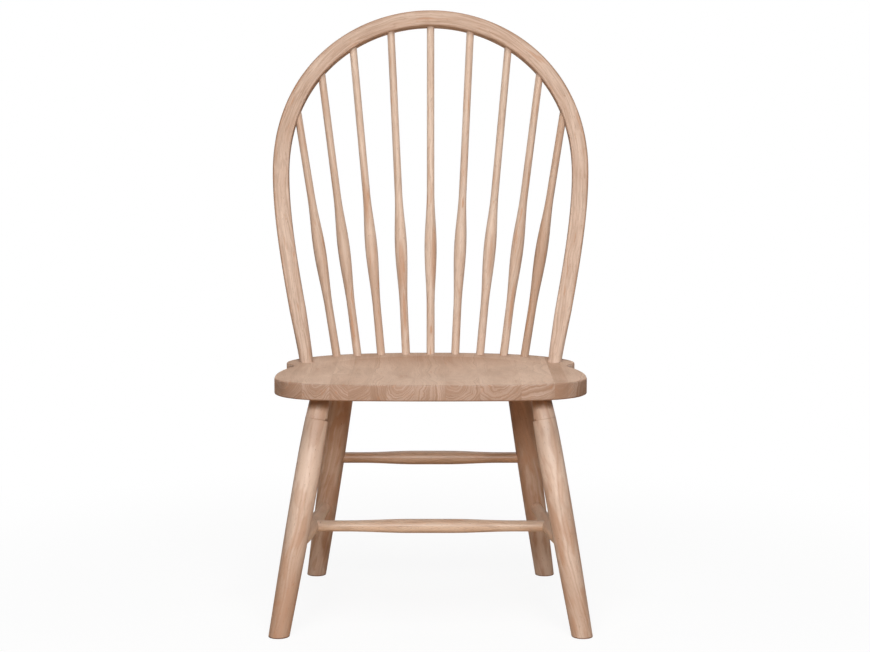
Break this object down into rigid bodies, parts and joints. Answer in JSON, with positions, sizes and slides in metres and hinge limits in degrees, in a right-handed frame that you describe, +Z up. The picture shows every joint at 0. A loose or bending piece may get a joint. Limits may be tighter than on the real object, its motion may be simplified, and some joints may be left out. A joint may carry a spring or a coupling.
{
  "type": "windsor side chair",
  "caption": "Tall bow-back windsor side chair in bare pale hardwood: dished board seat, splayed turned legs tied by stretchers, and turned spindles under a bent bow.",
  "frame": {"origin": "on the floor, under the middle of the chair's overall box", "axes": "+Z up, -Y the way the sitter faces, -X the left side as someone facing the chair sees it"},
  "size_m": [0.5902, 0.505, 1.0935],
  "materials": {
    "seat_wood": "sanded, unfinished",
    "leg_wood": "sanded, unfinished",
    "stretcher_wood": "sanded, unfinished",
    "bow_wood": "sanded, unfinished",
    "spindle_wood": "sanded, unfinished"
  },
  "bodies": {
    "root": {"seat_stave_01": "seat_wood", "seat_stave_02": "seat_wood", "seat_stave_03": "seat_wood", "seat_stave_04": "seat_wood", "seat_stave_05": "seat_wood", "seat_stave_06": "seat_wood", "seat_stave_07": "seat_wood", "seat_stave_08": "seat_wood", "seat_stave_09": "seat_wood", "seat_stave_10": "seat_wood", "leg_front_left": "leg_wood", "leg_front_right": "leg_wood", "leg_rear_left": "leg_wood", "leg_rear_right": "leg_wood", "stretcher_left": "stretcher_wood", "stretcher_right": "stretcher_wood", "stretcher_middle": "stretcher_wood", "stretcher_rear": "stretcher_wood", "bow": "bow_wood", "spindle_1": "spindle_wood", "spindle_2": "spindle_wood", "spindle_3": "spindle_wood", "spindle_4": "spindle_wood", "spindle_5": "spindle_wood", "spindle_6": "spindle_wood", "spindle_7": "spindle_wood", "spindle_8": "spindle_wood", "spindle_9": "spindle_wood"}
  },
  "joints": []
}
